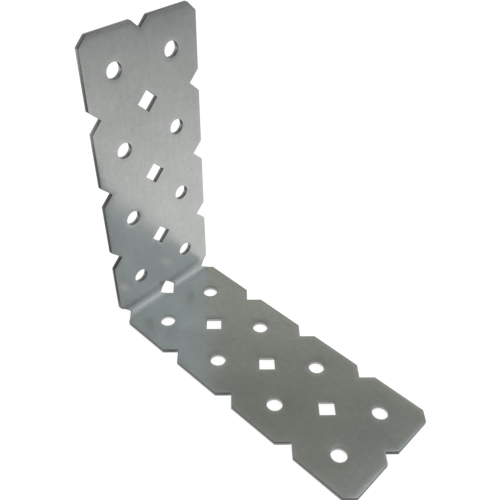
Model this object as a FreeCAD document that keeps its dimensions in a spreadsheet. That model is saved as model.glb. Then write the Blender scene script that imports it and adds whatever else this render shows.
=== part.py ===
import FreeCAD, Part
import enum
import math
import os

import Sketcher

# Angle bracket: one strip of galvanised steel, punched while flat and folded once.
# The heel of the fold is the origin. The base leg runs along +X with its underside
# at Z = 0, the upright leg runs along +Z with its back at X = 0, and the middle of
# the strip's width is at Y = 0.

# Driving dimensions, in millimetres. Leg lengths run from the heel along the outer face,
# the bend radius is the inside one, and the rows of round holes are measured between
# centres. End trim is how far the strip is cut off short of its last squares' middle.
DRIVING_SIZES = {
    "strip_width": 40.0,
    "sheet_thickness": 1.6,
    "bend_radius": 3.5,
    "base_length": 101.0,
    "upright_length": 101.0,
    "end_trim": 0.7,
    "hole_pitch": 25.0,
    "row_spacing": 20.2,
    "hole_diameter": 5.0,
    "square_side": 5.0,
    "edge_round": 0.1,
}

# The bend starts this far from the heel, measured along either leg's outer face.
BEND_START = "(sizes.bend_radius + sizes.sheet_thickness)"
# Half of the fold's length along the middle of the sheet, which keeps its length.
HALF_ARC = "((sizes.bend_radius + sizes.sheet_thickness / 2) * pi / 4)"
# The punched pattern is centred on the fold line. A mark on a leg lies this much
# further from the heel than it lay from the fold line on the flat strip.
FOLD_SHIFT = f"({BEND_START} - {HALF_ARC})"
HALF_DIAGONAL = "(sizes.square_side / sqrt(2))"

doc = FreeCAD.newDocument("angle_bracket")
sizes = doc.addObject("Spreadsheet::Sheet", "sizes")
for row, (alias, value) in enumerate(DRIVING_SIZES.items(), start=1):
    sizes.set(f"A{row}", alias)
    sizes.set(f"B{row}", str(value))
    sizes.setAlias(f"B{row}", alias)
doc.recompute()

sheet_thickness = sizes.sheet_thickness
bend_radius = sizes.bend_radius
bend_start = bend_radius + sheet_thickness
half_diagonal = sizes.square_side / math.sqrt(2)

# Names for the parts of a sketch's geometry
ORIGIN = (-1, 1)
VERTICAL_AXIS, HORIZONTAL_AXIS = enum.IntEnum("Axis", "VERTICAL HORIZONTAL", start=-2)
START, END, CENTRE = enum.IntEnum("Point", "START END CENTRE")


def origin_item(body, role):
    return next(item for item in body.Origin.OriginFeatures if item.Role == role)


def plane_sketch(body, name, plane_role, turn=0.0):
    """Sketch on one of the body's own planes, turned about that plane's normal."""
    sketch = body.newObject("Sketcher::SketchObject", name)
    sketch.AttachmentSupport = [(origin_item(body, plane_role), "")]
    sketch.MapMode = "FlatFace"
    spin = FreeCAD.Rotation(FreeCAD.Vector(0, 0, 1), turn)
    sketch.AttachmentOffset = FreeCAD.Placement(FreeCAD.Vector(), spin)
    return sketch


def relate(sketch, kind, *references):
    sketch.addConstraint(Sketcher.Constraint(kind, *references))


def drive(sketch, kind, references, expression):
    """Dimension in a sketch, tied to the sheet."""
    value = float(sketch.evalExpression(expression))
    index = sketch.addConstraint(Sketcher.Constraint(kind, *references, value))
    sketch.setExpression(f"Constraints[{index}]", expression)


def line(sketch, first, second):
    ends = FreeCAD.Vector(*first, 0), FreeCAD.Vector(*second, 0)
    return sketch.addGeometry(Part.LineSegment(*ends), False)


def bend_arc(sketch, radius):
    """Quarter circle of the fold, from the upright's side round to the base's side."""
    centre = FreeCAD.Vector(bend_start, bend_start, 0)
    circle = Part.Circle(centre, FreeCAD.Vector(0, 0, 1), radius)
    return sketch.addGeometry(Part.ArcOfCircle(circle, math.pi, 1.5 * math.pi), False)


def draw_profile(sketch):
    """Side view of the folded strip: two flat legs joined by a round bend."""
    base_end = sizes.base_length
    top = sizes.upright_length

    back = line(sketch, (0, top), (0, bend_start))
    outer_bend = bend_arc(sketch, bend_start)
    underside = line(sketch, (bend_start, 0), (base_end, 0))
    base_tip = line(sketch, (base_end, 0), (base_end, sheet_thickness))
    base_top = line(sketch, (base_end, sheet_thickness), (bend_start, sheet_thickness))
    inner_bend = bend_arc(sketch, bend_radius)
    front = line(sketch, (sheet_thickness, bend_start), (sheet_thickness, top))
    upright_tip = line(sketch, (sheet_thickness, top), (0, top))

    relate(sketch, "Tangent", back, END, outer_bend, START)
    relate(sketch, "Tangent", outer_bend, END, underside, START)
    relate(sketch, "Coincident", underside, END, base_tip, START)
    relate(sketch, "Coincident", base_tip, END, base_top, START)
    relate(sketch, "Tangent", base_top, END, inner_bend, END)
    relate(sketch, "Tangent", inner_bend, START, front, START)
    relate(sketch, "Coincident", front, END, upright_tip, START)
    relate(sketch, "Coincident", upright_tip, END, back, START)
    relate(sketch, "Coincident", outer_bend, CENTRE, inner_bend, CENTRE)
    relate(sketch, "PointOnObject", back, START, VERTICAL_AXIS)
    relate(sketch, "PointOnObject", underside, END, HORIZONTAL_AXIS)
    for upright_line in (back, front, base_tip):
        relate(sketch, "Vertical", upright_line)
    for level_line in (underside, base_top, upright_tip):
        relate(sketch, "Horizontal", level_line)
    drive(sketch, "Radius", (inner_bend,), "sizes.bend_radius")
    drive(sketch, "DistanceY", (base_tip, START, base_tip, END), "sizes.sheet_thickness")
    drive(sketch, "DistanceX", (*ORIGIN, underside, END), "sizes.base_length")
    drive(sketch, "DistanceY", (*ORIGIN, back, START), "sizes.upright_length")


def draw_round_hole(sketch, along, across):
    """Round hole with its centre at a distance along and across the leg."""
    centre = FreeCAD.Vector(sketch.evalExpression(along), sketch.evalExpression(across), 0)
    circle = Part.Circle(centre, FreeCAD.Vector(0, 0, 1), sizes.hole_diameter / 2)
    hole = sketch.addGeometry(circle, False)
    drive(sketch, "Diameter", (hole,), "sizes.hole_diameter")
    drive(sketch, "DistanceX", (*ORIGIN, hole, CENTRE), along)
    drive(sketch, "DistanceY", (*ORIGIN, hole, CENTRE), across)


def draw_square_hole(sketch, along, across):
    """Square standing on its corner, its middle at a distance along and across the leg."""
    x = sketch.evalExpression(along)
    y = sketch.evalExpression(across)
    right, top = (x + half_diagonal, y), (x, y + half_diagonal)
    left, bottom = (x - half_diagonal, y), (x, y - half_diagonal)
    corners = [right, top, left, bottom, right]
    sides = [line(sketch, first, second) for first, second in zip(corners, corners[1:])]
    for side, following in zip(sides, [*sides[1:], sides[0]]):
        relate(sketch, "Coincident", side, END, following, START)
    for side, following in zip(sides, sides[1:]):
        relate(sketch, "Perpendicular", side, following)
    relate(sketch, "Equal", sides[0], sides[1])
    relate(sketch, "Horizontal", sides[0], START, sides[2], START)
    drive(sketch, "Distance", (sides[0],), "sizes.square_side")
    drive(sketch, "DistanceX", (*ORIGIN, sides[1], START), along)
    drive(sketch, "DistanceY", (*ORIGIN, sides[0], START), across)


def punch(body, sketch):
    """Punch a sketch's holes right through the leg that it lies on."""
    before = body.Shape.Volume
    pocket = body.newObject("PartDesign::Pocket", f"{sketch.Name}_punch")
    pocket.Profile = sketch
    pocket.Type = "ThroughAll"
    pocket.Reversed = True
    body.Tip = pocket
    doc.recompute()
    if pocket.Shape.Volume >= before:
        raise RuntimeError(f"{pocket.Name} cuts nothing")
    return pocket


def repeat(body, pocket, axis_role, first, last):
    """Repeat a punch each pitch along the leg, from its first place up to the last that fits."""
    row = body.newObject("PartDesign::LinearPattern", f"{pocket.Name}_row")
    row.Originals = [pocket]
    row.Direction = (origin_item(body, axis_role), [""])
    row.Mode = "Spacing"
    row.setExpression("Offset", "sizes.hole_pitch")
    row.setExpression("Occurrences", f"floor(({last} - {first}) / sizes.hole_pitch) + 1")
    body.Tip = row
    doc.recompute()


def punch_leg(body, leg, plane_role, turn, axis_role):
    """Two rows of round holes, and squares between them on the middle and both edges.

    The strip is cut off just short of the middle of its last squares, which leaves a
    notch in the leg's end and clips its corners. At least one sheet thickness of steel
    is left between the last whole holes and the end."""
    length = f"sizes.{leg}_length"
    middle_and_edges = ("0", "sizes.strip_width / 2", "-sizes.strip_width / 2")

    first_round = f"(sizes.hole_pitch / 2 + {FOLD_SHIFT})"
    last_round = f"({length} - sizes.sheet_thickness - sizes.hole_diameter / 2)"
    rounds = plane_sketch(body, f"{leg}_round_holes", plane_role, turn)
    for across in ("sizes.row_spacing / 2", "-sizes.row_spacing / 2"):
        draw_round_hole(rounds, first_round, across)
    repeat(body, punch(body, rounds), axis_role, first_round, last_round)

    end_square = f"({length} + sizes.end_trim)"
    end_squares = plane_sketch(body, f"{leg}_end_squares", plane_role, turn)
    for across in middle_and_edges:
        draw_square_hole(end_squares, end_square, across)
    punch(body, end_squares)

    first_square = f"(sizes.hole_pitch + {FOLD_SHIFT})"
    last_square = f"({end_square} - 2 * {HALF_DIAGONAL} - sizes.sheet_thickness)"
    squares = plane_sketch(body, f"{leg}_square_holes", plane_role, turn)
    for across in middle_and_edges:
        draw_square_hole(squares, first_square, across)
    repeat(body, punch(body, squares), axis_role, first_square, last_square)


def is_inside(face):
    """True for a face of the skin that looks into the corner between the legs.

    That skin lies one bend radius away from the space beyond the bend's axis."""
    for vertex in face.Vertexes:
        short_of_x = max(bend_start - vertex.X, 0)
        short_of_z = max(bend_start - vertex.Z, 0)
        if not math.isclose(math.hypot(short_of_x, short_of_z), bend_radius, rel_tol=1e-5):
            return False
    return True


def round_inside_edges(body):
    """The punch and shear draw the inside skin's edges down into a small round."""
    punched = body.Tip
    shape = punched.Shape
    rim = []
    for number, edge in enumerate(shape.Edges, start=1):
        faces = shape.ancestorsOfType(edge, Part.Face)
        if [is_inside(face) for face in faces].count(True) == 1:
            rim.append(f"Edge{number}")
    rounds = body.newObject("PartDesign::Fillet", "inside_edge_round")
    rounds.Base = (punched, rim)
    rounds.setExpression("Radius", "sizes.edge_round")
    body.Tip = rounds
    doc.recompute()


def wrapped_loop(radius, corners):
    """Polygon of the flat strip wrapped round the bend, as a closed wire of helices.

    Each corner is an angle about the bend's axis, counted from +X towards +Z,
    and a place across the strip."""
    surface = Part.Cylinder()
    surface.Center = FreeCAD.Vector(bend_start, 0, bend_start)
    surface.Axis = FreeCAD.Vector(0, -1, 0)
    surface.Radius = radius
    points = [FreeCAD.Base.Vector2d(angle, -across) for angle, across in corners]
    edges = []
    for first, second in zip(points, [*points[1:], points[0]]):
        edges.append(Part.Geom2d.Line2dSegment(first, second).toShape(surface))
    return Part.Wire(edges)


def fold_square(across):
    """Square punched on the fold line. Its walls stay square to the sheet round the bend."""
    neutral_radius = bend_radius + sheet_thickness / 2
    fold_angle = 1.25 * math.pi
    reach = min(half_diagonal, neutral_radius * math.pi / 4)
    half_width = half_diagonal - reach
    turn = reach / neutral_radius

    # A square larger than the bend is cut straight across where each leg starts.
    base_side = [(fold_angle + turn, across + half_width), (fold_angle + turn, across - half_width)]
    upright_side = [(fold_angle - turn, across - half_width), (fold_angle - turn, across + half_width)]
    runs_onto_legs = half_width > 0
    if not runs_onto_legs:
        base_side.pop()
        upright_side.pop()
    corners = [
        (fold_angle, across + half_diagonal),
        *base_side,
        (fold_angle, across - half_diagonal),
        *upright_side,
    ]
    inner = wrapped_loop(bend_radius, corners)
    outer = wrapped_loop(bend_start, corners)
    walls = [Part.makeRuledSurface(low, high) for low, high in zip(inner.Edges, outer.Edges)]
    solids = [Part.makeSolid(Part.makeShell([*walls, Part.Face(inner), Part.Face(outer)]))]

    if runs_onto_legs:
        tip = [
            FreeCAD.Vector(bend_start, across - half_width, 0),
            FreeCAD.Vector(bend_start + half_width, across, 0),
            FreeCAD.Vector(bend_start, across + half_width, 0),
        ]
        base_tip = Part.Face(Part.makePolygon([*tip, tip[0]]))
        base_tip = base_tip.extrude(FreeCAD.Vector(0, 0, sheet_thickness))
        upright_tip = base_tip.mirror(FreeCAD.Vector(), FreeCAD.Vector(1, 0, -1))
        solids.extend((base_tip, upright_tip))
    return solids


def punch_fold(body):
    """The pattern's three squares that lie on the fold: on the middle and both edges."""
    half_strip = sizes.strip_width / 2
    solids = []
    for across in (0, half_strip, -half_strip):
        solids.extend(fold_square(across))
    punches = doc.addObject("Part::Feature", "fold_punches")
    punches.Shape = Part.makeCompound(solids)
    punches.Placement = FreeCAD.Placement()
    cut = body.newObject("PartDesign::Boolean", "fold_square_holes")
    cut.Type = "Cut"
    cut.setObjects([punches])
    body.Tip = cut
    doc.recompute()


def make_bracket():
    body = doc.addObject("PartDesign::Body", "angle_bracket")
    body.Label = "angle_bracket"
    body.Placement = FreeCAD.Placement()
    profile = plane_sketch(body, "side_profile", "XZ_Plane")
    draw_profile(profile)
    doc.recompute()
    strip = body.newObject("PartDesign::Pad", "folded_strip")
    strip.Profile = profile
    strip.SideType = "Symmetric"
    strip.setExpression("Length", "sizes.strip_width")
    body.Tip = strip
    doc.recompute()
    punch_leg(body, "base", "XY_Plane", 0.0, "X_Axis")
    punch_leg(body, "upright", "YZ_Plane", 90.0, "Z_Axis")
    round_inside_edges(body)
    punch_fold(body)
    return body


def check_document():
    for item in doc.Objects:
        if "Invalid" in item.State or "Error" in item.State:
            raise RuntimeError(f"{item.Name} failed: {item.State}")


def write_part(part):
    if part.Shape.isNull() or not part.Shape.isValid():
        raise RuntimeError(f"{part.Label} has no valid shape")
    os.makedirs("parts", exist_ok=True)
    part.Shape.exportStep(f"parts/{part.Label}.step")


bracket = make_bracket()
check_document()
write_part(bracket)
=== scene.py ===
import math

import bmesh
import bpy
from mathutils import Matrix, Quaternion, Vector


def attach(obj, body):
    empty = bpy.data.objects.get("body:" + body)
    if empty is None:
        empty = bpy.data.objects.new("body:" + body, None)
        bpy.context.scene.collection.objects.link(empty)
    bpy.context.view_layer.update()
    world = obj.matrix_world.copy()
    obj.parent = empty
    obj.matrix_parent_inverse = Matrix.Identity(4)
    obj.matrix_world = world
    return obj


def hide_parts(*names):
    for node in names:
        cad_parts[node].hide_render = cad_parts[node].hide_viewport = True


# Looks of the angle bracket: a strip of galvanised sheet steel, punched and folded once.
# The bracket stands on its base leg, +X, with its upright leg along +Z and the fold along Y.

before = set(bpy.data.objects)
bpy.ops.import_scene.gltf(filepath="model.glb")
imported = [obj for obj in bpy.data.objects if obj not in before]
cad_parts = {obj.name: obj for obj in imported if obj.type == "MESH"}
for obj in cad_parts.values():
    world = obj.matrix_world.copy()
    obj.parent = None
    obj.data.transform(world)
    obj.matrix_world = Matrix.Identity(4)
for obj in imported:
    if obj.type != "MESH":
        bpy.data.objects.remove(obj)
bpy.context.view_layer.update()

MM = 0.001

# The strip's own sizes, as the solid has them
SHEET_THICKNESS = 1.6 * MM
BEND_RADIUS = 3.5 * MM
BEND_START = BEND_RADIUS + SHEET_THICKNESS
HALF_BEND = (BEND_RADIUS + SHEET_THICKNESS / 2) * math.pi / 4

# How the solid's points, edges and faces are told apart
SAME_PLACE = 0.001 * MM
FLAT = math.radians(0.05)
SQUARE_ON = 0.99999
SHARP_EDGE = math.radians(60)
CREASE = math.radians(35)
# Share of the sheet's thickness within which a point counts as lying on a skin
SKIN_TOLERANCE = 0.002
# Share of the sheet's thickness that the rounded inner edges take up
ROUND_DEPTH = 0.08

# Edges: the punch leaves a burr on the outer skin, dressed by the zinc to a tiny round
BURR_ROUND = 0.04 * MM

# Roll-over: punch and shear draw the inner skin down a little towards each cut.
# Each step is the width of a band, its share of the sinking and its share of the wear and painted
# highlight.
ROLL_STEPS = ((0.5 * MM, 0.5, 0.5), (1.2 * MM, 0.0, 0.0))
ROLL_SINK = 0.09 * MM
# The bands start past the fold, at a line across each leg, and come in gently from there
BAND_LINE = BEND_START + 1.5 * MM
ROLL_LINE = BAND_LINE + 1.7 * MM
ROLL_FADE = 4.0 * MM

# Zinc skin: colours, and the sizes of its patterns.
# The roll's own grain is nearer 0.2 mm, and is drawn at 0.7 mm to show at the picture's size.
DEEP_ZINC = "#aaaba9"
PALE_ZINC = "#b9bab8"
GRAIN_SIZE = 0.7 * MM
MOTTLE_SIZE = 2 * MM
CLOUD_SIZE = 14 * MM
STREAK_LENGTH = 40 * MM
STREAK_WIDTH = 1.2 * MM
# How much each pattern counts in the tone, and the part of their sum that runs from deep to pale
MOTTLE_SHARE = 0.3
GRAIN_SHARE = 0.15
CLOUD_SHARE = 0.4
STREAK_SHARE = 0.15
TONE_RANGE = (0.35, 0.65)
# Roughness between the grains and on them, and the part of the pattern that runs from one to the other
SATIN_ROUGHNESS = (0.265, 0.215)
GRAIN_RANGE = (0.3, 0.7)
# Heights, in millimetres
MOTTLE_HEIGHT = 0.004
GRAIN_HEIGHT = 0.01

# Specks of ash in the zinc: one cell in three has one, its core and rim given as shares of the cell
ASH = "#6f7172"
ASH_CELL = 22 * MM
ASH_CHOICE = 0.65
SPECK_CORE = 0.008
SPECK_RIM = 0.03
SPECK_STRENGTH = 0.25

# Zinc rubbed bright along the edges, partly real wear and partly a painted highlight along the rims
RUBBED_ZINC_AND_HIGHLIGHT = "#c6c9ca"
RUB_AND_HIGHLIGHT_RANGE = (0.3, 1.6)
RUB_AND_HIGHLIGHT_STRENGTH = 0.15

# Crazed zinc in the fold: where it is full and where it ends, from the fold line
FOLD_FULL = HALF_BEND - 1.8 * MM
FOLD_END = HALF_BEND - 0.2 * MM
FOLD_ROUGHNESS = 0.46

# Bare steel in the cuts, by depth in the sheet: it sets in under the inner skin, turns from dull steel,
# darkened at the top with painted shade under the rolled edge, to burnished steel, and ends short of
# the outer skin
DULL_STEEL_AND_LIP_SHADE = "#5c5d5b"
BURNISHED_STEEL = "#bcbdbb"
CUT_TOP = (0.0, 0.03 * MM)
CUT_LIP_SHADE_TO_BURNISH = (0.35 * MM, 0.9 * MM)
CUT_FOOT = (1.53 * MM, 1.59 * MM)
BURNISH_STRENGTH = 0.5
CUT_ROUGHNESS = 0.38
# Lines that the shearing draws through the sheet, and their height in millimetres
LINE_SPACING = 0.15 * MM
LINE_LENGTH = 1.2 * MM
LINE_STRENGTH = 0.4
LINE_HEIGHT = 0.008

# Floor, in metres, a hair under the bracket. The glow is what makes its lit grey white.
FLOOR_GREY = "#a9a9a8"
FLOOR_SIZE = 2.0
FLOOR_DROP = 0.02 * MM
WHITE_GLOW = 0.85
# Stretches of the floor that reflect darker in the bracket than the camera sees them: painted shadows
# of the upright and along the base's left side and end, and a greyer stretch far out to the right. For
# each: the way outwards, how far out its middle lies, half its width, its fade and the glow left there.
RIGHT_SIDE = ((0.888, 0.459, 0.0), 1365 * MM, 1000 * MM, 306 * MM, 0.0)
# Painted shadows, seen only in reflections: the upright's, then contact shadows along the base's left
# side and its end
UPRIGHT_SHADOW_STRETCH = ((-0.7071, -0.7071, 0.0), 108 * MM, 84 * MM, 7 * MM, 0.05)
BASE_LEFT_SHADOW = ((0.0, -1.0, 0.0), 20.5 * MM, 2.5 * MM, 1 * MM, 0.4)
BASE_END_SHADOW = ((1.0, 0.0, 0.0), 100 * MM, 2.5 * MM, 1 * MM, 0.3)

# Softboxes: the way to each from the bracket's middle, then its distance, width and height in
# metres, its radiance and its colour
BRACKET_MIDDLE = Vector((0.04, 0.0, 0.04))
SIDE_SOFTBOX = ((0.497, 0.552, 0.669), 0.7, 0.55, 0.88, 0.88, (0.88, 1.0, 1.15))
KEY_SOFTBOX = ((0.05, -0.10, 0.99), 0.8, 0.6, 0.6, 0.35, (1.0, 1.0, 1.0))

# Room: its level by height, from 0 at the horizon to 1 straight overhead
ROOM_LEVELS = ((0.0, 0.95), (0.16, 0.56), (0.44, 0.52), (0.53, 0.33), (0.62, 0.44), (0.7, 0.8),
               (0.76, 0.34), (0.8, 0.245), (0.84, 0.3), (0.9, 0.5), (0.96, 0.34), (1.0, 0.25))
# The upper part of the room is faintly green
TINT_HEIGHT = 0.5
TINT = (0.955, 1.0, 0.89)
# High up, the room darkens towards the camera's side, -Y
DIM_SIDE = (-0.5, 0.0)
DIM_LEVEL = 0.65
DIM_HEIGHT = (0.42, 0.55)

# Camera, fitted to the outline and the holes of the photograph
CAMERA_PLACE = Vector((139.753, -102.476, 164.744)) * MM
CAMERA_AIM = Vector((40.736, 2.684, 41.702)) * MM
CAMERA_ROLL = math.radians(-0.948)
SENSOR_WIDTH = 36.0
FOCAL_LENGTH = 46.0935
CLIP_START = 1 * MM


def linear(hex_colour):
    """Scene colour of an sRGB hex value."""
    channels = []
    for start in (1, 3, 5):
        level = int(hex_colour[start:start + 2], 16) / 255
        channels.append(level / 12.92 if level <= 0.04045 else ((level + 0.055) / 1.055) ** 2.4)
    return (*channels, 1.0)


def add_node(tree, kind, settings=None, inputs=None):
    """Add a node. An input is a plain value or the socket that feeds it.

    Map Range takes its value at 0, the range it comes from at 1 and 2 and the one it goes to at 3
    and 4. Mix takes its share at 0, and two numbers at 2 and 3 or two colours at 6 and 7.
    """
    node = tree.nodes.new(kind)
    for name, value in (settings or {}).items():
        setattr(node, name, value)
    for key, value in (inputs or {}).items():
        if isinstance(value, bpy.types.NodeSocket):
            tree.links.new(value, node.inputs[key])
        else:
            node.inputs[key].default_value = value
    return node


def sheet_depth(point):
    """Depth in the sheet: 0 on the skin that faces the inside corner, 1 on the outer skin."""
    short_of_x = max(BEND_START - point.x, 0.0)
    short_of_z = max(BEND_START - point.z, 0.0)
    return (math.hypot(short_of_x, short_of_z) - BEND_RADIUS) / SHEET_THICKNESS


def strip_place(point):
    """Place in the strip laid flat: along it from the fold line, across it, and depth in the sheet."""
    if point.x >= BEND_START:
        along = HALF_BEND + point.x - BEND_START
    elif point.z >= BEND_START:
        along = BEND_START - point.z - HALF_BEND
    else:
        turn = math.atan2(BEND_START - point.z, BEND_START - point.x) - math.pi / 4
        along = turn * HALF_BEND / (math.pi / 4)
    return Vector((along, point.y, sheet_depth(point) * SHEET_THICKNESS))


def lies_on_skin(face, level):
    return all(abs(sheet_depth(vert.co) - level) < SKIN_TOLERANCE for vert in face.verts)


def is_banded_skin(face):
    """Whether a face lies flat on a skin of a leg, past the line where the bands start."""
    is_flat = max(abs(face.normal.x), abs(face.normal.z)) > SQUARE_ON
    on_a_skin = lies_on_skin(face, 0.0) or lies_on_skin(face, 1.0)
    return is_flat and on_a_skin and all(
        max(vert.co.x, vert.co.z) - BAND_LINE > -SAME_PLACE for vert in face.verts)


def make_punched_strip(node):
    """The folded strip with dressed edges, and a rolled-over band along each cut that carries wear and
    a painted highlight.
    """
    bm = bmesh.new()
    bm.from_mesh(node.data)
    wear_and_highlight = bm.verts.layers.float.new("edge_wear_and_highlight")
    place = bm.verts.layers.float_vector.new("strip_place")
    bmesh.ops.remove_doubles(bm, verts=bm.verts, dist=SAME_PLACE)
    bmesh.ops.dissolve_limit(bm, angle_limit=FLAT, verts=bm.verts, edges=bm.edges)

    burr = [edge for edge in bm.edges if edge.calc_face_angle(0.0) > SHARP_EDGE
            and all(sheet_depth(vert.co) > 1 - SKIN_TOLERANCE for vert in edge.verts)]
    bmesh.ops.bevel(bm, geom=burr, offset=BURR_ROUND, offset_type="OFFSET", segments=2,
                    profile=0.5, affect="EDGES", clamp_overlap=True, material=-1)

    for along in (Vector((1, 0, 0)), Vector((0, 0, 1))):
        bmesh.ops.bisect_plane(bm, geom=[*bm.verts, *bm.edges, *bm.faces], dist=SAME_PLACE,
                               plane_co=along * BAND_LINE, plane_no=along)
    # Short, even triangles keep the bridges between rims out of the bands
    skins = bmesh.ops.triangulate(bm, faces=[face for face in bm.faces if is_banded_skin(face)],
                                  quad_method="BEAUTY", ngon_method="BEAUTY")["faces"]
    share = (1.0, 1.0)
    shares = {vert: share for vert in bm.verts if sheet_depth(vert.co) < ROUND_DEPTH}
    for width, *next_share in ROLL_STEPS:
        band = bmesh.ops.inset_region(bm, faces=skins, thickness=width, use_boundary=True,
                                      use_even_offset=True)["faces"]
        inner = {vert for face in skins for vert in face.verts}
        shares.update({vert: share for face in band for vert in face.verts})
        share = next_share
        shares.update({vert: share for vert in inner})

    for vert in bm.verts:
        spot = strip_place(vert.co)
        vert[place] = spot
        reach = min(max((max(vert.co.x, vert.co.z) - ROLL_LINE) / ROLL_FADE, 0.0), 1.0)
        sink, rub_and_highlight_share = shares.get(vert, (0.0, 0.0))
        # This share lightens the rims: wear, and a painted highlight
        vert[wear_and_highlight] = rub_and_highlight_share * reach
        if sheet_depth(vert.co) < ROUND_DEPTH:
            drop = ROLL_SINK * sink * reach
            vert.co -= Vector((0, 0, drop)) if spot.x > 0 else Vector((drop, 0, 0))

    mesh = bpy.data.meshes.new("punched_strip")
    bm.to_mesh(mesh)
    bm.free()
    mesh.shade_smooth()
    mesh.set_sharp_from_angle(angle=CREASE)
    strip = bpy.data.objects.new("punched_strip", mesh)
    bpy.context.scene.collection.objects.link(strip)
    weighted = strip.modifiers.new("flat_faces_stay_flat", "WEIGHTED_NORMAL")
    weighted.keep_sharp = True
    return strip


def galvanised_steel():
    """Hot-dip galvanised sheet steel, as coiled, punched and folded.

    The skin-pass roll leaves the zinc satin, with a fine mottle and faint streaks along the strip.
    The fold stretches the zinc and dulls it. Shearing leaves bare, darker steel in every cut, drawn in
    lines through the sheet and darkened further at the top with painted shade, and handling rubs the
    zinc bright along the edges, with a painted highlight there as well.
    """
    material = bpy.data.materials.new("galvanised_steel")
    material.use_nodes = True
    tree = material.node_tree
    shader = tree.nodes["Principled BSDF"]
    place = add_node(tree, "ShaderNodeAttribute", {"attribute_name": "strip_place"}).outputs["Vector"]
    wear_and_highlight = add_node(tree, "ShaderNodeAttribute", {"attribute_name": "edge_wear_and_highlight"}).outputs["Fac"]
    parts = add_node(tree, "ShaderNodeSeparateXYZ", None, {0: place}).outputs

    # Skin: grain, mottle, clouds and streaks along the strip
    grain = add_node(tree, "ShaderNodeTexNoise", None,
                     {"Vector": place, "Scale": 1 / GRAIN_SIZE, "Detail": 1.0}).outputs[0]
    mottle = add_node(tree, "ShaderNodeTexNoise", None,
                      {"Vector": place, "Scale": 1 / MOTTLE_SIZE, "Detail": 3.0}).outputs[0]
    clouds = add_node(tree, "ShaderNodeTexNoise", None,
                      {"Vector": place, "Scale": 1 / CLOUD_SIZE, "Detail": 3.0}).outputs[0]
    drawn = add_node(tree, "ShaderNodeVectorMath", {"operation": "MULTIPLY"},
                     {0: place, 1: (1 / STREAK_LENGTH, 1 / STREAK_WIDTH, 0.0)}).outputs[0]
    streaks = add_node(tree, "ShaderNodeTexNoise", None,
                       {"Vector": drawn, "Scale": 1.0, "Detail": 2.0}).outputs[0]
    tone = add_node(tree, "ShaderNodeMath", {"operation": "MULTIPLY"},
                    {0: mottle, 1: MOTTLE_SHARE}).outputs[0]
    for pattern, share in ((grain, GRAIN_SHARE), (clouds, CLOUD_SHARE), (streaks, STREAK_SHARE)):
        tone = add_node(tree, "ShaderNodeMath", {"operation": "MULTIPLY_ADD"},
                        {0: pattern, 1: share, 2: tone}).outputs[0]
    tone = add_node(tree, "ShaderNodeMapRange", None,
                    {0: tone, 1: TONE_RANGE[0], 2: TONE_RANGE[1], 3: 0.0, 4: 1.0}).outputs[0]
    colour = add_node(tree, "ShaderNodeMix", {"data_type": "RGBA"},
                      {0: tone, 6: linear(DEEP_ZINC), 7: linear(PALE_ZINC)}).outputs[2]

    # Soft specks of ash
    cells = add_node(tree, "ShaderNodeTexVoronoi", {"voronoi_dimensions": "2D"},
                     {"Vector": place, "Scale": 1 / ASH_CELL})
    chosen = add_node(tree, "ShaderNodeMath", {"operation": "GREATER_THAN"},
                      {0: cells.outputs["Color"], 1: ASH_CHOICE}).outputs[0]
    speck = add_node(tree, "ShaderNodeMapRange", None,
                     {0: cells.outputs["Distance"], 1: SPECK_CORE, 2: SPECK_RIM,
                      3: SPECK_STRENGTH, 4: 0.0}).outputs[0]
    speck = add_node(tree, "ShaderNodeMath", {"operation": "MULTIPLY"},
                     {0: chosen, 1: speck}).outputs[0]
    colour = add_node(tree, "ShaderNodeMix", {"data_type": "RGBA"},
                      {0: speck, 6: colour, 7: linear(ASH)}).outputs[2]

    # Rubbed edges with a painted highlight along the rims, broken up by the mottle
    rubbed_and_highlight = add_node(tree, "ShaderNodeMath", {"operation": "MULTIPLY_ADD"},
                      {0: wear_and_highlight, 1: mottle, 2: wear_and_highlight}).outputs[0]
    rubbed_and_highlight = add_node(tree, "ShaderNodeMapRange", None,
                      {0: rubbed_and_highlight, 1: RUB_AND_HIGHLIGHT_RANGE[0], 2: RUB_AND_HIGHLIGHT_RANGE[1], 3: 0.0, 4: RUB_AND_HIGHLIGHT_STRENGTH}).outputs[0]
    colour = add_node(tree, "ShaderNodeMix", {"data_type": "RGBA"},
                      {0: rubbed_and_highlight, 6: colour, 7: linear(RUBBED_ZINC_AND_HIGHLIGHT)}).outputs[2]

    # The middle of the fold, where the zinc is crazed
    from_fold = add_node(tree, "ShaderNodeMath", {"operation": "ABSOLUTE"}, {0: parts["X"]}).outputs[0]
    fold = add_node(tree, "ShaderNodeMapRange", {"interpolation_type": "SMOOTHSTEP"},
                    {0: from_fold, 1: FOLD_FULL, 2: FOLD_END, 3: 1.0, 4: 0.0}).outputs[0]

    # Cuts: dull steel with painted shade under the rolled edge, burnished below, with lines through the
    # sheet
    below = add_node(tree, "ShaderNodeMapRange", None,
                     {0: parts["Z"], 1: CUT_TOP[0], 2: CUT_TOP[1], 3: 0.0, 4: 1.0}).outputs[0]
    above = add_node(tree, "ShaderNodeMapRange", None,
                     {0: parts["Z"], 1: CUT_FOOT[0], 2: CUT_FOOT[1], 3: 1.0, 4: 0.0}).outputs[0]
    cut = add_node(tree, "ShaderNodeMath", {"operation": "MULTIPLY"}, {0: below, 1: above}).outputs[0]
    sheared = add_node(tree, "ShaderNodeVectorMath", {"operation": "MULTIPLY"},
                       {0: place, 1: (1 / LINE_SPACING, 1 / LINE_SPACING, 1 / LINE_LENGTH)}).outputs[0]
    lines = add_node(tree, "ShaderNodeTexNoise", None,
                     {"Vector": sheared, "Scale": 1.0, "Detail": 2.0}).outputs[0]
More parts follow.
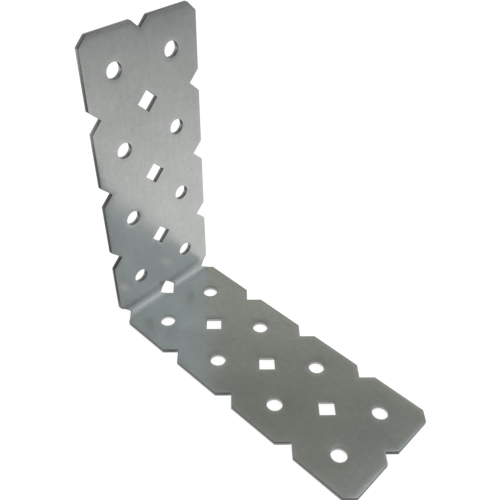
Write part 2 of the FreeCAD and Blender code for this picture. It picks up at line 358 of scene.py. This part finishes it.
    # Painted shade: the top of each cut stays dull and dark, and lighter burnished steel comes in below
    # it
    burnish_below_lip_shade = add_node(tree, "ShaderNodeMapRange", None,
                         {0: parts["Z"], 1: CUT_LIP_SHADE_TO_BURNISH[0], 2: CUT_LIP_SHADE_TO_BURNISH[1],
                          3: 0.0, 4: BURNISH_STRENGTH}).outputs[0]
    burnish_below_lip_shade = add_node(tree, "ShaderNodeMath", {"operation": "MULTIPLY_ADD"},
                         {0: lines, 1: LINE_STRENGTH, 2: burnish_below_lip_shade}).outputs[0]
    bare = add_node(tree, "ShaderNodeMix", {"data_type": "RGBA"},
                    {0: burnish_below_lip_shade, 6: linear(DULL_STEEL_AND_LIP_SHADE), 7: linear(BURNISHED_STEEL)}).outputs[2]
    colour = add_node(tree, "ShaderNodeMix", {"data_type": "RGBA"},
                      {0: cut, 6: colour, 7: bare}).outputs[2]

    # The grain breaks up the sheen, and the fold and the cuts are duller
    roughness = add_node(tree, "ShaderNodeMapRange", None,
                         {0: grain, 1: GRAIN_RANGE[0], 2: GRAIN_RANGE[1],
                          3: SATIN_ROUGHNESS[0], 4: SATIN_ROUGHNESS[1]}).outputs[0]
    for mask, dull in ((fold, FOLD_ROUGHNESS), (cut, CUT_ROUGHNESS)):
        roughness = add_node(tree, "ShaderNodeMix", None, {0: mask, 2: roughness, 3: dull}).outputs[0]

    # Height: the skin's mottle and grain, and the lines of the cuts
    skin_height = add_node(tree, "ShaderNodeMath", {"operation": "MULTIPLY"},
                           {0: mottle, 1: MOTTLE_HEIGHT}).outputs[0]
    skin_height = add_node(tree, "ShaderNodeMath", {"operation": "MULTIPLY_ADD"},
                           {0: grain, 1: GRAIN_HEIGHT, 2: skin_height}).outputs[0]
    line_height = add_node(tree, "ShaderNodeMath", {"operation": "MULTIPLY"},
                           {0: lines, 1: LINE_HEIGHT}).outputs[0]
    height = add_node(tree, "ShaderNodeMix", None, {0: cut, 2: skin_height, 3: line_height}).outputs[0]
    bump = add_node(tree, "ShaderNodeBump", None, {"Height": height, "Distance": MM}).outputs[0]

    shader.inputs["Metallic"].default_value = 1.0
    tree.links.new(colour, shader.inputs["Base Color"])
    tree.links.new(roughness, shader.inputs["Roughness"])
    tree.links.new(bump, shader.inputs["Normal"])
    return material


def make_floor():
    """Pale floor, white to the camera and in reflections, but for the darker stretches: painted shadows
    of the bracket, seen only in reflections, and a greyer stretch far out.
    """
    bm = bmesh.new()
    bmesh.ops.create_grid(bm, x_segments=1, y_segments=1, size=FLOOR_SIZE)
    mesh = bpy.data.meshes.new("floor")
    bm.to_mesh(mesh)
    bm.free()
    floor = bpy.data.objects.new("floor", mesh)
    floor.location.z = -FLOOR_DROP
    bpy.context.scene.collection.objects.link(floor)

    material = bpy.data.materials.new("floor")
    material.use_nodes = True
    tree = material.node_tree
    shader = tree.nodes["Principled BSDF"]
    place = add_node(tree, "ShaderNodeTexCoord").outputs["Object"]
    path = add_node(tree, "ShaderNodeLightPath").outputs
    seen = add_node(tree, "ShaderNodeMath", {"operation": "MAXIMUM"},
                    {0: path["Is Glossy Ray"], 1: path["Is Transmission Ray"]}).outputs[0]
    for outwards, middle, half_width, fade, glow in (RIGHT_SIDE, UPRIGHT_SHADOW_STRETCH, BASE_LEFT_SHADOW, BASE_END_SHADOW):
        out = add_node(tree, "ShaderNodeVectorMath", {"operation": "DOT_PRODUCT"},
                       {0: place, 1: outwards}).outputs["Value"]
        off = add_node(tree, "ShaderNodeMath", {"operation": "SUBTRACT"},
                       {0: out, 1: middle}).outputs[0]
        off = add_node(tree, "ShaderNodeMath", {"operation": "ABSOLUTE"}, {0: off}).outputs[0]
        white = add_node(tree, "ShaderNodeMapRange", None,
                         {0: off, 1: half_width, 2: half_width + fade,
                          3: glow, 4: WHITE_GLOW}).outputs[0]
        seen = add_node(tree, "ShaderNodeMath", {"operation": "MINIMUM"},
                        {0: seen, 1: white}).outputs[0]
    seen = add_node(tree, "ShaderNodeMath", {"operation": "MULTIPLY_ADD"},
                    {0: path["Is Camera Ray"], 1: WHITE_GLOW, 2: seen}).outputs[0]
    shader.inputs["Base Color"].default_value = linear(FLOOR_GREY)
    shader.inputs["Roughness"].default_value = 1.0
    shader.inputs["Specular IOR Level"].default_value = 0.0
    shader.inputs["Emission Color"].default_value = (1, 1, 1, 1)
    tree.links.new(seen, shader.inputs["Emission Strength"])
    # The glow is for the eye and reflections, and isn't sampled as a lamp
    material.cycles.emission_sampling = "NONE"
    mesh.materials.append(material)


def make_softbox(name, direction, distance, width, height, radiance, colour):
    lamp = bpy.data.lights.new(name, "AREA")
    lamp.shape = "RECTANGLE"
    lamp.size = width
    lamp.size_y = height
    lamp.energy = radiance * math.pi * width * height
    lamp.color = colour
    box = bpy.data.objects.new(name, lamp)
    box.location = BRACKET_MIDDLE + Vector(direction).normalized() * distance
    box.rotation_mode = "QUATERNION"
    box.rotation_quaternion = (BRACKET_MIDDLE - box.location).to_track_quat("-Z", "Y")
    box.visible_camera = False
    bpy.context.scene.collection.objects.link(box)


def light_the_room():
    """Studio with a pale backdrop all round, darker in belts overhead and high on the camera's side."""
    world = bpy.data.worlds.new("studio")
    world.use_nodes = True
    bpy.context.scene.world = world
    tree = world.node_tree
    direction = add_node(tree, "ShaderNodeTexCoord").outputs["Generated"]
    parts = add_node(tree, "ShaderNodeSeparateXYZ", None, {0: direction}).outputs
    ramp = add_node(tree, "ShaderNodeValToRGB", None, {0: parts["Z"]})
    # The ramp comes with its first and last stop
    stops = ramp.color_ramp.elements
    for place, _ in ROOM_LEVELS[1:-1]:
        stops.new(place)
    for stop, (place, level) in zip(stops, ROOM_LEVELS):
        tint = TINT if place > TINT_HEIGHT else (1.0, 1.0, 1.0)
        stop.color = (*(level * share for share in tint), 1.0)
    towards_camera = add_node(tree, "ShaderNodeMapRange", None,
                              {0: parts["Y"], 1: DIM_SIDE[0], 2: DIM_SIDE[1],
                               3: DIM_LEVEL, 4: 1.0}).outputs[0]
    low = add_node(tree, "ShaderNodeMapRange", None,
                   {0: parts["Z"], 1: DIM_HEIGHT[0], 2: DIM_HEIGHT[1], 3: 1.0, 4: 0.0}).outputs[0]
    strength = add_node(tree, "ShaderNodeMath", {"operation": "MAXIMUM"},
                        {0: towards_camera, 1: low}).outputs[0]
    room = tree.nodes["Background"]
    tree.links.new(ramp.outputs[0], room.inputs["Color"])
    tree.links.new(strength, room.inputs["Strength"])


def make_camera():
    lens = bpy.data.cameras.new("camera")
    lens.sensor_width = SENSOR_WIDTH
    lens.lens = FOCAL_LENGTH
    lens.clip_start = CLIP_START
    camera = bpy.data.objects.new("camera", lens)
    camera.location = CAMERA_PLACE
    camera.rotation_mode = "QUATERNION"
    level = (CAMERA_AIM - CAMERA_PLACE).to_track_quat("-Z", "Y")
    camera.rotation_quaternion = level @ Quaternion((0, 0, 1), -CAMERA_ROLL)
    bpy.context.scene.collection.objects.link(camera)
    bpy.context.scene.camera = camera


strip = make_punched_strip(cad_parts["angle_bracket"])
strip.data.materials.append(galvanised_steel())
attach(strip, "root")
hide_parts("angle_bracket")

make_floor()
make_softbox("side_softbox", *SIDE_SOFTBOX)
make_softbox("key_softbox", *KEY_SOFTBOX)
light_the_room()
make_camera()
bpy.context.scene.view_settings.view_transform = "Standard"
